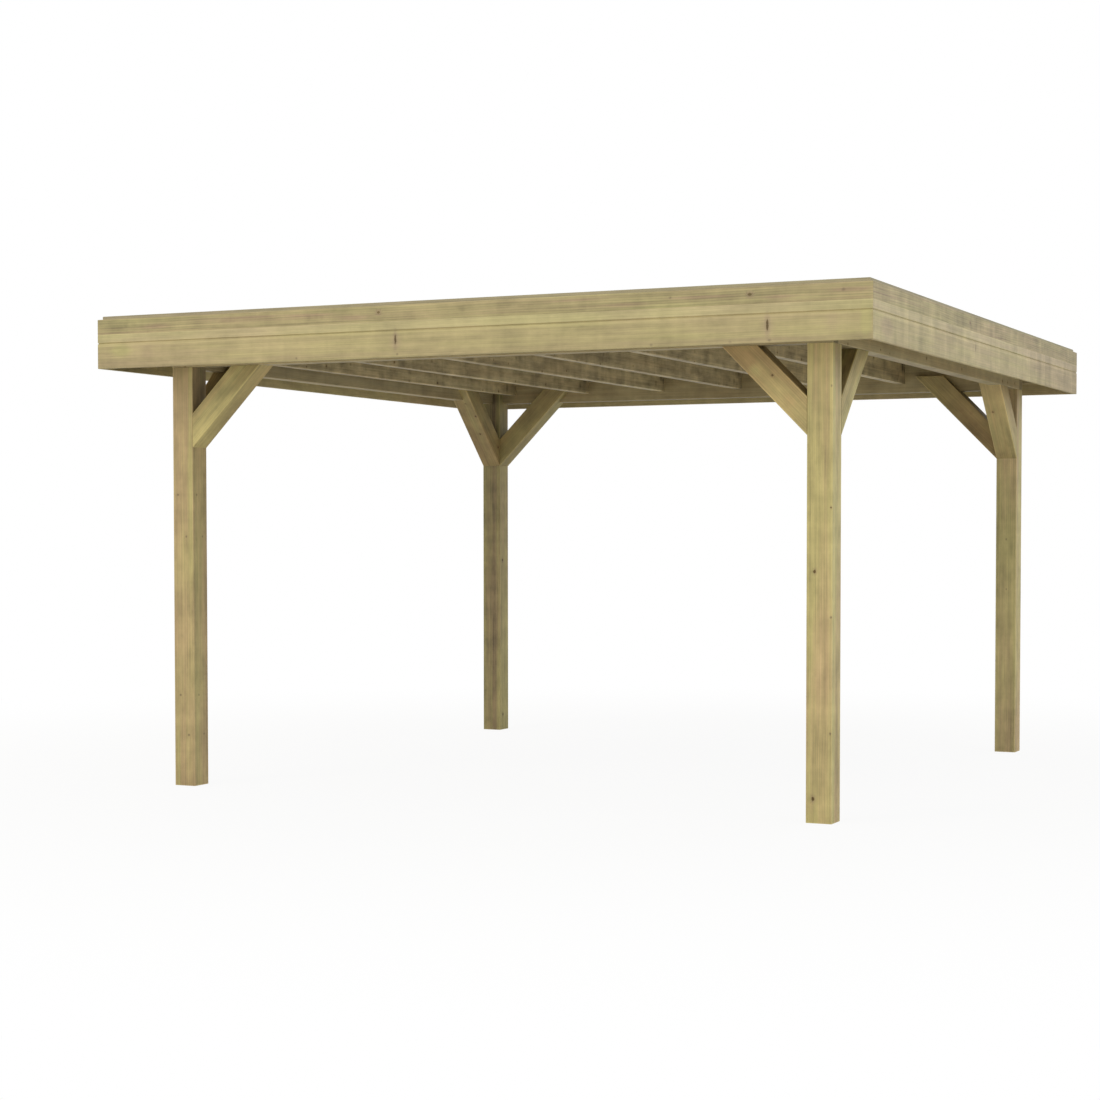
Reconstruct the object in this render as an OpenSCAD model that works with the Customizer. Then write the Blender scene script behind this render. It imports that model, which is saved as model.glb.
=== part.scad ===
// Garden pergola with a flat boarded roof: four posts with knee braces carry a ring of beams,
// joists hang inside the ring, and a two-board fascia runs round the overhanging roof edge.
// Millimetres. Z is up from the ground, X runs left to right and Y runs front to back.
// The origin is on the ground under the middle of the roof.

/* [Roof] */
// Width of the roof over the fascia, left to right
roof_w = 4000; // [3200:10:4800]
// Depth of the roof over the fascia, front to back
roof_d = 4000; // [3200:10:4800]
// From the fascia's outer face to the outer faces of posts and beams
overhang = 260; // [200:5:320]
// Thickness of the roof boards
deck_t = 18; // [14:1:28]

/* [Posts] */
// Side of the square posts, and thickness of the braces across their plane
post_w = 120; // [95:5:150]
// Height of the posts, from the ground to the underside of the beams
post_h = 2105; // [1800:5:2600]

/* [Braces] */
// Depth of the knee braces in their plane
brace_w = 120; // [70:5:140]
// From the underside of the beam down to the foot of a brace
brace_leg = 400; // [300:10:600]

/* [Beams] */
// Thickness of the ring beams
beam_t = 70; // [45:5:90]
// Height of the ring beams
beam_h = 195; // [175:5:245]
// How far the rebated heads of the posts and braces run up beside the beams
head_lap = 90; // [20:5:140]

/* [Joists] */
// Number of joists between the front and back beams
joist_count = 7; // [5:1:9]
// Thickness of the joists
joist_t = 45; // [35:1:60]
// Height of the joists
joist_h = 145; // [95:5:170]
// Clear gap between the outer joists and the side braces
joist_end_gap = 50; // [20:5:150]

/* [Roof edge] */
// Thickness of the rim boards behind the fascia
rim_t = 28; // [18:1:45]
// Height of the rim boards
rim_h = 145; // [95:5:170]
// Thickness of the short outriggers between the beams and the rim
outrigger_t = 45; // [35:1:60]
// Height of the outriggers
outrigger_h = 95; // [70:5:120]
// Number of outriggers along each side of the roof
outrigger_count = 9; // [7:1:15]
// From the roof's corner to the centre of the first outrigger
outrigger_inset = 400; // [360:10:600]

/* [Fascia] */
// Thickness of the fascia boards
fascia_t = 18; // [15:1:28]
// Height of the lower fascia board
lower_h = 169; // [140:1:185]
// How far the upper fascia board rises above the roof boards
fascia_rise = 15; // [5:1:40]
// From the underside of the beams down to the lower edge of the fascia
fascia_drop = 15; // [10:1:60]
// From the lower edge of the fascia up to the middle of its groove
groove_z = 125; // [60:1:130]
// Width of the V groove
groove_w = 6; // [3:1:10]
// Depth of the V groove
groove_d = 3; // [1:0.5:6]

/* [Kerb] */
// Width of the kerb that stands on the deck behind the fascia
kerb_w = 45; // [28:1:70]
// How far the kerb rises above the fascia
kerb_rise = 17; // [5:1:40]

/* [Timber] */
// Size of the eased long edges of the posts, braces, beams and joists
arris = 4; // [0.5:0.5:8]

/* [Hidden] */
SIDES = ["front", "back", "left", "right"];

post_colour = "#B3A06B";
beam_colour = "#8F8257";
joist_colour = "#7B6F4C";
deck_colour = "#968A62";
fascia_colour = "#B8AA7C";
upper_colour = "#A5976A";

frame_w = roof_w - 2 * overhang;            // over the outer faces of the posts, left to right
frame_d = roof_d - 2 * overhang;            // over the outer faces of the posts, front to back
beam_top = post_h + beam_h;
joist_len = frame_d - 2 * beam_t;
joist_reach = frame_w / 2 - post_w - joist_end_gap - joist_t / 2;
joist_pitch = 2 * joist_reach / (joist_count - 1);
head_t = post_w - beam_t;                   // what the beam's rebate leaves of a head
head_gap = 2;                               // from a head to a joist over it
rim_w = roof_w - 2 * fascia_t;              // over the outer faces of the rim, left to right
rim_d = roof_d - 2 * fascia_t;              // over the outer faces of the rim, front to back
outrigger_len = overhang - fascia_t - rim_t;
deck_top = beam_top + deck_t;
fascia_z = post_h - fascia_drop;
upper_z = fascia_z + lower_h;
fascia_top = deck_top + fascia_rise;
upper_h = fascia_top - upper_z;
kerb_h = fascia_rise + kerb_rise;

// Outline of a squared timber with its four corners eased
module eased_outline(w, h) {
    polygon([
        [arris, 0], [w - arris, 0], [w, arris], [w, h - arris],
        [w - arris, h], [arris, h], [0, h - arris], [0, arris]
    ]);
}

function joist_x(i) = -joist_reach + (i - 1) * joist_pitch;

// Timber that runs along X from the origin, w wide in Y and h high in Z
module timber_x(length, w, h) {
    rotate([90, 0, 90]) linear_extrude(length) eased_outline(w, h);
}

// Timber that runs along Y from the origin, w wide in X and h high in Z
module timber_y(length, w, h) {
    translate([0, length, 0]) rotate([90, 0, 0]) linear_extrude(length) eased_outline(w, h);
}

// Moves a piece from the origin to the inner corner of the back right post, and mirrors it to the
// corner that sx and sy name: -1 or 1 for left or right, and for front or back
module to_corner(sx, sy) {
    mirror([sx < 0 ? 1 : 0, 0, 0]) mirror([0, sy < 0 ? 1 : 0, 0])
        translate([frame_w / 2 - post_w, frame_d / 2 - post_w, 0]) children();
}

// The beams sit on the post, and a tongue at its inner corner runs up between them
module post(sx, sy) {
    color(post_colour) to_corner(sx, sy) {
        linear_extrude(post_h) eased_outline(post_w, post_w);
        linear_extrude(post_h + head_lap) intersection() {
            eased_outline(post_w, post_w);
            square(head_t);
        }
    }
}

// Knee brace in its own corner: it leans from the post face at X = 0 to the beam's underside at Z = 0
// and is as thick as the post along Y. Its foot is cut upright and its head level, and the head is
// rebated for the beam, so that its inner part runs up beside the beam by lap
module brace_shape(lap) {
    intersection() {
        difference() {
            translate([0, 0, -brace_leg]) cube([brace_leg + lap, post_w, brace_leg + lap]);
            translate([-1, head_t, 0]) cube([brace_leg + lap + 2, beam_t + 1, lap + 1]);
        }
        translate([0, 0, -brace_leg]) rotate([0, -45, 0])
            translate([-brace_leg, 0, 0]) timber_x(3 * (brace_leg + lap), post_w, brace_w);
    }
}

// Brace in the front or back face of the frame, between the post and the front or back beam. Where a
// joist comes over its head, the head stops under it
module brace_across(sx, sy) {
    head_start = frame_w / 2 - post_w - brace_leg - head_lap - head_gap;
    head_end = frame_w / 2 - post_w - brace_leg + brace_w * sqrt(2) + head_gap;
    met = [
        for (i = [1 : joist_count])
            if (joist_x(i) + joist_t / 2 > head_start && joist_x(i) - joist_t / 2 < head_end) i
    ];
    lap = len(met) > 0 ? min(head_lap, beam_h - joist_h - head_gap) : head_lap;
    color(post_colour) to_corner(sx, sy) translate([0, 0, post_h]) mirror([1, 0, 0]) brace_shape(lap);
}

// Brace in the left or right face of the frame, between the post and the side beam
module brace_along(sx, sy) {
    color(post_colour) to_corner(sx, sy)
        translate([0, 0, post_h]) rotate([0, 0, -90]) brace_shape(head_lap);
}

// Front and back beams run through, and the side beams stand between them
module beam(side) {
    color(beam_colour) {
        if (side == "front")
            translate([-frame_w / 2, -frame_d / 2, post_h]) timber_x(frame_w, beam_t, beam_h);
        if (side == "back")
            translate([-frame_w / 2, frame_d / 2 - beam_t, post_h]) timber_x(frame_w, beam_t, beam_h);
        if (side == "left")
            translate([-frame_w / 2, -joist_len / 2, post_h]) timber_y(joist_len, beam_t, beam_h);
        if (side == "right")
            translate([frame_w / 2 - beam_t, -joist_len / 2, post_h]) timber_y(joist_len, beam_t, beam_h);
    }
}

module joist(i) {
    color(joist_colour)
        translate([joist_x(i) - joist_t / 2, -joist_len / 2, beam_top - joist_h])
            timber_y(joist_len, joist_t, joist_h);
}

// Turns a front piece to the side that is named
module to_side(side) {
    turn = side == "front" ? 0 : side == "right" ? 90 : side == "back" ? 180 : 270;
    rotate([0, 0, turn]) children();
}

// Size of the roof along a side and across it
function run_of(side) = side == "front" || side == "back" ? roof_w : roof_d;
function reach_of(side) = (side == "front" || side == "back" ? roof_d : roof_w) / 2;

// Short timbers from the beam out to the rim, evenly spaced between the two outermost
module outriggers(side) {
    first = outrigger_inset - run_of(side) / 2;
    pitch = -2 * first / (outrigger_count - 1);
    color(joist_colour) to_side(side)
        for (i = [0 : outrigger_count - 1])
            translate([
                first + i * pitch - outrigger_t / 2,
                -reach_of(side) + fascia_t + rim_t,
                beam_top - outrigger_h
            ])
                cube([outrigger_t, outrigger_len, outrigger_h]);
}

// Front and back rims run through, and the side rims stand between them
module rim(side) {
    length = side == "front" || side == "back" ? rim_w : rim_d - 2 * rim_t;
    color(joist_colour) to_side(side)
        translate([-length / 2, -reach_of(side) + fascia_t, beam_top - rim_h]) cube([length, rim_t, rim_h]);
}

module roof_deck() {
    color(deck_colour)
        translate([-rim_w / 2, -rim_d / 2, beam_top]) cube([rim_w, rim_d, deck_t]);
}

// Mitred board along one side: its outline in Y and Z is extruded along X and cut at 45 degrees,
// with the outer face in_set inside the roof's outer face
module mitred_board(side, in_set, depth) {
    run = run_of(side) - 2 * in_set;
    reach = reach_of(side) - in_set;
    to_side(side) intersection() {
        translate([-run / 2, -reach, 0]) rotate([90, 0, 90]) linear_extrude(run) children();
        linear_extrude(fascia_top + kerb_rise + 1)
            polygon([
                [-run / 2, -reach], [run / 2, -reach],
                [run / 2 - depth, depth - reach], [depth - run / 2, depth - reach]
            ]);
    }
}

// Lower board with a V groove in its outer face
module fascia_lower(side) {
    color(fascia_colour) mitred_board(side, 0, fascia_t) translate([0, fascia_z])
        polygon([
            [0, 0], [fascia_t, 0], [fascia_t, lower_h], [0, lower_h],
            [0, groove_z + groove_w / 2], [groove_d, groove_z], [0, groove_z - groove_w / 2]
        ]);
}

module fascia_upper(side) {
    color(upper_colour) mitred_board(side, 0, fascia_t)
        translate([0, upper_z]) square([fascia_t, upper_h]);
}

module kerb(side) {
    color(upper_colour) mitred_board(side, fascia_t, kerb_w)
        translate([0, deck_top]) square([kerb_w, kerb_h]);
}

post(-1, -1);  // post_front_left
post(1, -1);  // post_front_right
post(-1, 1);  // post_back_left
post(1, 1);  // post_back_right
brace_across(-1, -1);  // brace_front_left_front
brace_along(-1, -1);  // brace_front_left_side
brace_across(1, -1);  // brace_front_right_front
brace_along(1, -1);  // brace_front_right_side
brace_across(-1, 1);  // brace_back_left_back
brace_along(-1, 1);  // brace_back_left_side
brace_across(1, 1);  // brace_back_right_back
brace_along(1, 1);  // brace_back_right_side
for (i = [1 : joist_count])
    joist(i);
roof_deck();
for (side = SIDES) {
    beam(side);
    outriggers(side);
    rim(side);
    fascia_lower(side);
    fascia_upper(side);
    kerb(side);
}
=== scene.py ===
"""Looks of the garden pergola: every timber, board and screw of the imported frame, with a pale floor,
soft studio light and the camera. Metres throughout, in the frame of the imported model."""

import math
from functools import cache

import bmesh
import bpy
import numpy as np
from mathutils import Matrix, Vector

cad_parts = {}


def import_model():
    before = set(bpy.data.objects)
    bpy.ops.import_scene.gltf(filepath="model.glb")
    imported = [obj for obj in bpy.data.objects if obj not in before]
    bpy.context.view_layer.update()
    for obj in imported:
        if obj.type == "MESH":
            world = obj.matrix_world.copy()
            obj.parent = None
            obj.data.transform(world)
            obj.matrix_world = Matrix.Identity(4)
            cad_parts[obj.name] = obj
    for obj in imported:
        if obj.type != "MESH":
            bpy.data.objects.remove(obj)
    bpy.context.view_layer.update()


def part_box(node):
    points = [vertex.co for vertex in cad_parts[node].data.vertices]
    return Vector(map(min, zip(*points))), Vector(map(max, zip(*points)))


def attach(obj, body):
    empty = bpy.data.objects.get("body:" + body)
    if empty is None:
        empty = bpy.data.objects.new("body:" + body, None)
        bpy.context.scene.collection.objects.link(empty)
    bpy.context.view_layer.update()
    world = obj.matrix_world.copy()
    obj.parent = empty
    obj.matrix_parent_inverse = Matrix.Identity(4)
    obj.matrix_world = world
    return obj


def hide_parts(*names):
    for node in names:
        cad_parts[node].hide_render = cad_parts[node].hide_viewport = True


MM = 0.001
WHITE = (1, 1, 1, 1)
MATH, VECTOR_MATH = "ShaderNodeMath", "ShaderNodeVectorMath"
NOISE, MAP_RANGE, COMBINE = "ShaderNodeTexNoise", "ShaderNodeMapRange", "ShaderNodeCombineXYZ"

UP = Vector((0, 0, 1))
# Which way each side of the roof runs, counterclockwise seen from above, and which way is inward from it
ALONG = {
    "front": Vector((1, 0, 0)), "right": Vector((0, 1, 0)),
    "back": Vector((-1, 0, 0)), "left": Vector((0, -1, 0)),
}
INWARD = {side: UP.cross(run) for side, run in ALONG.items()}
JOISTS = [f"joist_{i}" for i in range(1, 8)]

# Camera: sensor and lens in mm, shift as a share of the sensor, place, and how far it looks down and to
# the left in degrees
SENSOR, LENS = 36, 69.94
SHIFT = (-0.0368, 0.0505)
CAMERA_PLACE = (4.6928, -10.6495, 1.2847)
DIP, TURN = 1.995, 24.796

# Round soft lamps: name, place, watts and colour
LAMPS = (("warm lamp", (-6, -12, 11), 520, "FFF3DE"), ("cool lamp", (12, -3, 6), 220, "C6D8FF"))
LAMP_WIDTH = 6
LAMP_TARGET = Vector((0, 0, 1.5))
WORLD_STRENGTH = 0.86
FLOOR_SIZE = 120
FLOOR_DEPTH = 0.5 * MM  # how far it lies under the feet
FLOOR_NEAR, FLOOR_FAR = 2.5, 6.5  # from the middle: where it begins to run into white, and ends
NEAR_WHITE = 0.92  # share of plain white that the camera sees nearby
FEET_REACH = 8 * MM  # light that starts this close to the floor passes it

# Timber sizes that the boxes of the frame don't give
POST_WIDTH = 120 * MM
POST_ARRIS = 5 * MM
BEAM_ARRIS = 4 * MM
JOIST_ARRIS = 4 * MM
RIM_ARRIS = 2 * MM
ROOF_BOARD_WIDTH = 120 * MM
ROOF_BOARD_ARRIS = 2.5 * MM
OUTRIGGERS = 9
OUTRIGGER_WIDTH = 45 * MM
OUTRIGGER_ARRIS = 2 * MM
WELD = 0.01 * MM

# Radii of a board's arrises: outer lower, inner lower, inner upper and outer upper
LOWER_ARRISES = (3 * MM, 3 * MM, 0.8 * MM, 0.8 * MM)
UPPER_ARRISES = (0.8 * MM, 0.8 * MM, 0.8 * MM, 3 * MM)
KERB_ARRISES = (0.8 * MM, 0.8 * MM, 3 * MM, 3 * MM)
# Groove of the lower fascia board: depth, height over the board's lower edge, and radius, of its upper
# lip, its bottom and its worn lower lip
GROOVE = ((0, 129 * MM, 0.8 * MM), (4 * MM, 125 * MM, 0.4 * MM), (0, 121 * MM, 1.5 * MM))
MITRE_GAP = 0.03 * MM

SCREW_HEAD = 9 * MM
SCREW_PROUD = 0.3 * MM
SCREW_LIFT = 25 * MM  # from the joist's lower edge
SCREW_SHARES = (0.25, 0.75)  # two screws, a quarter of the width in from either edge
# Rings of a screw head, from the middle of its underside, round its edge and down into its six-lobed
# socket: radius on a lobe and between lobes as a share of the head's, and height in mm
HEAD_RINGS = (
    (0, 0, -1.2), (0.75, 0.75, -1.2), (1, 1, -0.15), (0.94, 0.94, 0), (0.42, 0.3, 0), (0.38, 0.27, -0.45),
    (0, 0, -0.5),
)
HEAD_CORNERS = 12
ZINC_BLOOM = 2.5 * MM

GOLDEN = 0.618034  # spreads the timbers' tones evenly

# Faces of a timber, by number: the two across its height, the two across its width, and the ends, which
# count on from there. A timber with marks of its own has a page of numbers.
FACE_BELOW, FACE_ABOVE, FACE_NEAR, FACE_FAR, END_NUMBERS = 0, 2, 3, 5, 7
FACES_A_PAGE = 20

# How a timber looks: its shade, its warmth, how much its sawn bars add, and its page
PLAIN = (1, 0, 0, 0)
# A post's FACE_ABOVE looks to the front, and its FACE_NEAR to the right.
POST_LOOKS = {
    ("front", "left"): (0.91, 0.3, 0, 1), ("front", "right"): (1.06, -0.1, 0, 2),
    ("back", "left"): (0.795, 0, 0, 3), ("back", "right"): (0.99, 0.1, 0, 4),
}
# Of each corner, the brace along the front or back, and the one along the side
BRACE_LOOKS = {
    ("front", "left"): ((1.04, -0.3, 0, 5), (0.95, 0.2, 0, 0)),
    ("front", "right"): ((1.01, 0.1, 0, 6), (1.04, -0.3, 0, 0)),
    ("back", "left"): ((0.74, -0.1, 0, 0), (0.8, 0.1, 0, 0)),
    ("back", "right"): ((0.88, 0, 0, 7), (0.97, -0.1, 0, 8)),
}
BEAM_LOOKS = {"front": PLAIN, "right": PLAIN, "back": (1, 0, 0, 9), "left": PLAIN}
FASCIA_LOOKS = {
    "front": (1, 0, 0, 1), "right": (1.03, 0, 0.5, 2), "back": (1, 0, 0.2, 0), "left": (1, 0, 0.2, 0),
}

# Chosen knots, by page and face: place across it in mm, place along it in m, half width and half length
# in mm
POST_KNOTS = {
    (2, FACE_ABOVE): [(22, 0.01, 6.5, 8), (26, -0.99, 6.5, 9), (-53, 0.29, 3.5, 4.5)],
    (3, FACE_NEAR): [(21, 0, 6, 8), (17, -1, 6, 9)],
}
BRACE_KNOTS = {(6, FACE_FAR): [(14, -0.045, 5, 6)], (8, FACE_BELOW): [(-18, 0.015, 4, 5)]}
LOWER_KNOTS = {
    (1, FACE_NEAR): [(-3, -0.3, 23, 5), (-8, 1.53, 25, 5.5)],
    (2, FACE_NEAR): [(7, -0.32, 20, 3.5)],
}
UPPER_KNOTS = {
    (1, FACE_NEAR): [(6, -0.39, 7, 8), (4, 1.45, 7, 9)],
    (2, FACE_NEAR): [(-2, -0.43, 6, 8)],
}

# Chosen stains and painted shade and light: the same, then how dark and how warm. Small ones are pin
# knots, and a half length of STREAK makes it run on past both ends. Broad ones are painted shade and
# light that bare lamps don't give: painted shade on the braces' upper faces, the front left post's right
# face over its brace, the back beam's underside and the inner faces of the back and left lower fascia
# boards near one end; painted light on the front posts' heads, the front braces' upper ends and every
# beam's outer face. The back left post's front face is darker all over, partly from its timber and
# partly from painted shade.
STREAK = 4000
POST_STAINS_AND_PAINTED_LIGHT = {
    (1, FACE_ABOVE): [
        (31, 0.37, 8, 8, 0.55, 0.2), (-18, 0.16, 8, 8, 0.55, 0.2), (22, -0.64, 8, 8, 0.55, 0.2),
        (-26, -0.84, 8, 8, 0.6, 0.2), (-45, 0.5, 22, 900, -0.03, -0.8), (40, -1, 25, 350, 0.05, -0.9),
        # The next line is painted light on the head of the post's front face, under the fascia.
        (0, 1, 200, 300, -0.28, 0.1),
    ],
    (1, FACE_NEAR): [
        (29, 0.37, 9, 8, 0.55, 0.2), (-18, 0.16, 9, 8, 0.5, 0.2), (21, -0.64, 9, 8, 0.5, 0.2),
        # (0, 0.86, 90, 220, 0.45, 0.3) on the next line is painted shade on the head of the right face,
        # over the brace.
        (-23, -0.84, 9, 8, 0.4, 0.2), (0, 0.86, 90, 220, 0.45, 0.3), (14, -0.3, 50, STREAK, -0.13, -0.5),
    ],
    (2, FACE_ABOVE): [
        (-53, 0.82, 6, 8, 0.55, 0.5), (-54, -0.19, 6, 8, 0.55, 0.5), (-52, -0.7, 6, 8, 0.55, 0.5),
        (45, -0.4, 18, STREAK, 0.03, -0.5), (34, 0.01, 18, 18, 0.08, -0.4),
        # The last on the next line is painted light on the head of the post's front face, under the
        # fascia.
        (38, -0.99, 18, 18, 0.08, -0.4), (44, -1.02, 24, 65, 0.13, 0.4), (0, 1, 200, 300, -0.48, 0.1),
    ],
    (4, FACE_NEAR): [(-20, -1, 70, 380, -0.15, 0.3), (0, 0, 110, STREAK, -0.02, 0.1)],
    (2, FACE_NEAR): [(-12, 0, 28, STREAK, 0.14, 0.1), (45, 0, 30, STREAK, -0.02, -0.6)],
    (3, FACE_ABOVE): [
        # (0, 0, 110, STREAK, 0.26, 0.1) on the next line darkens the whole front face: partly darker
        # timber, partly painted shade under the roof.
        (-18, 0, 18, STREAK, 0.14, 0.7), (0, 0, 110, STREAK, 0.26, 0.1), (52, 0, 14, STREAK, 0.1, -0.8),
        (-50, 0, 12, STREAK, 0, -0.6),
    ],
    (3, FACE_NEAR): [
        (0, 0, 110, STREAK, 0.02, -0.4), (26, 0, 20, 18, 0.16, -0.2), (22, -1, 20, 18, 0.16, -0.2),
    ],
    (4, FACE_ABOVE): [
        (-1, 0.14, 7, 8, 0.4, 0.5), (-3, -0.15, 7, 8, 0.4, 0.5), (50, 0, 14, STREAK, 0.08, -0.2),
        (0, 0.9, 40, 400, 0.06, 0.8),
    ],
}
BRACE_STAINS_AND_PAINTED_LIGHT = {
    # Painted shade on every brace's upper face.
    **{(page, FACE_ABOVE): [(0, 0, 150, STREAK, 0.32, 0.2)] for page in (0, 5, 6, 7, 8)},
    (5, FACE_NEAR): [
        # The first on the next line is painted light on the brace's upper end, under the roof.
        (0, 0.28, 200, 300, -0.2, 0), (8, 0.03, 20, 260, 0.1, -0.7), (-42, -0.08, 14, 400, -0.08, 0),
    ],
    (5, FACE_BELOW): [(0, 0, 200, STREAK, -0.07, 0.3)],
    (6, FACE_FAR): [
        # The first on the next line is painted light on the brace's upper end, under the roof.
        (0, 0.03, 200, 330, -0.33, 0), (-5, 0.09, 40, 50, 0, 0.5), (-27, 0.03, 30, 40, 0, -0.6),
        (-11, -0.18, 30, 50, 0, 0.4),
    ],
    (7, FACE_FAR): [
        (23, -0.05, 12, 14, 0.1, 0.6), (-6, 0, 14, 16, 0.06, 0.8), (-4, -0.12, 12, 14, 0.06, 0.8),
    ],
    (8, FACE_BELOW): [(-18, 0.015, 14, 14, 0.05, 0.8)],
}
BEAM_PAINTED_LIGHT_AND_SHADE = {
    # Painted light on every beam's outer face under the fascia, more at one end of the front, right and
    # left beams.
    (0, FACE_NEAR): [(0, 0, 400, STREAK, -0.42, 0), (0, -1.75, 400, 600, -0.25, 0)],
    (9, FACE_NEAR): [(0, 0, 400, STREAK, -0.42, 0)],
    # Painted shade on the back beam's underside.
    (9, FACE_BELOW): [(0, 0, 200, STREAK, 0.3, 0)],
}
JOIST_STAINS = {
    (0, FACE_NEAR): [
        (25, 1.62, 50, 22, 0.45, 0.2), (-30, 1.54, 28, 20, 0.4, 0.2), (-14, -0.375, 13, 16, 0.4, 0.2),
    ],
}
LOWER_STAINS_AND_PAINTED_SHADE = {
    (1, FACE_NEAR): [
        (-70, -0.29, 7, 8, 0.4, 0.3), (-74, 1.54, 7, 10, 0.4, 0.3), (-74, 0.99, 7, 9, 0.3, 0.3),
        (-75, 1.36, 7, 10, 0.2, 0.3), (-71, -0.84, 7, 8, 0.35, 0.3), (-12, -0.3, 50, 38, 0.03, 0.5),
        (-16, 1.53, 50, 40, 0.03, 0.5), (-66, 0, 22, STREAK, 0.05, 0.2), (28, -0.56, 5, 26, 0.14, 0),
        (31, 1.27, 5, 26, 0.14, 0), (22, 0.66, 7, 22, 0.1, 0), (18, 0, 9, STREAK, 0.03, 0),
        (0, 1.97, 90, 30, -0.03, -0.9), (0, -1.86, 40, 80, 0, -0.9), (-10, -1.7, 50, 45, 0.07, 0.2),
        (-10, 1.82, 60, 40, 0.05, 0.3), (62, 0, 30, STREAK, 0, -0.35), (64, -1.6, 30, 1900, 0.06, 0.1),
        (-81, 0, 6, STREAK, 0.12, 0),
    ],
    (2, FACE_NEAR): [
        (62, 0, 30, STREAK, 0.02, 0.2), (0, 0, 200, STREAK, 0, 0.2), (0, 2.1, 400, 1900, 0.07, 0.4),
        (-20, -1.8, 60, 110, 0.06, 0.6), (-6, 1.48, 14, 22, 0.14, 0),
    ],
    # Painted shade on the inner faces of the back and left boards, near one end.
    (0, FACE_FAR): [(0, 1.85, 400, 350, 0.38, 0)],
}
UPPER_STAINS = {
    (1, FACE_NEAR): [
        (6, 1.08, 8, 9, 0.35, 0.2), (6, 1.87, 9, 11, 0.3, 0.3), (6, -1.78, 12, 22, 0.12, 0),
        (4, -1.83, 16, 16, 0.1, 0), (6, -1.23, 26, 60, 0.08, 0.2), (-2, -0.77, 22, 16, 0.12, 0),
        (-2, -0.7, 20, 14, 0.1, 0), (0, 0.05, 18, 22, 0.12, 0), (-8, -1.65, 17, 110, 0.03, 0.6),
        (12, -1.08, 7, 140, 0, 0.9), (8, -0.76, 8, 160, 0, 0.9), (-14, -0.52, 13, 110, 0, 0.6),
        (16, 0.6, 6, 180, 0, 0.8), (-14, 0.88, 15, 140, 0.03, 0.5), (2, 1.22, 8, 210, 0, 0.9),
        (-14, 1.58, 15, 90, 0.02, 0.5), (5, 1.9, 10, 110, 0, 0.8), (30, 0, 5, STREAK, -0.09, 0),
        (19, 0, 5, STREAK, 0.06, 0), (-33, 0, 6, STREAK, 0.05, 0), (0, 0.58, 60, 90, -0.1, 0),
    ],
    (2, FACE_NEAR): [
        (21, -1.27, 6, 9, 0.3, 0.3), (0, 0, 200, STREAK, 0.06, 0.13), (0, 2.1, 300, 1500, 0.18, 0),
    ],
}

# The wood pattern: numbers that its parts share
NO_KNOT = 9.0  # distance from a knot, in sizes of it, where there is none
OTHER_FACE = 1000.0  # sizes of a mark that the next face is away from it
FALLING = {"To Min": 1.0, "To Max": 0.0}  # a share that falls as the distance grows
FRAY = (6 * MM, 6 * MM, 0)  # how far the edges of knots and stains wander at most
PITH_SWAY = 0.05  # how far the pith does
KNOT_SPACING = 0.17
# The paler band of the lower fascia board starts just over its groove, and its lip under the band is
# paler still, a painted highlight. Both are heights over the board's middle.
BAND_FROM = 41 * MM
LIP_MIDDLE, LIP_HALF = 30 * MM, 5 * MM

# What the woods are made from: values of the pattern that a wood keeps unless it states its own
TREATED = {
    "Knot": "6A5734", "Knots": NO_KNOT, "Streak count": 30, "Heart spread": 1.6, "Patches": 1.2,
    "Grain": 1.0, "Bars": 0.3, "Blotches": 0.4, "Mottle": 0.8, "Knot share": 0.2, "Roughness": 0.6,
}
PINE = {"Rings": 0.08, "Tone spread": 0.05, "Pith": (0.2, 0.22, 0), "Ring width": 6 * MM}
SPRUCE = {"Rings": 0.12, "Pith": (0.03, 0.25, 0), "Ring width": 8 * MM}
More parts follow.
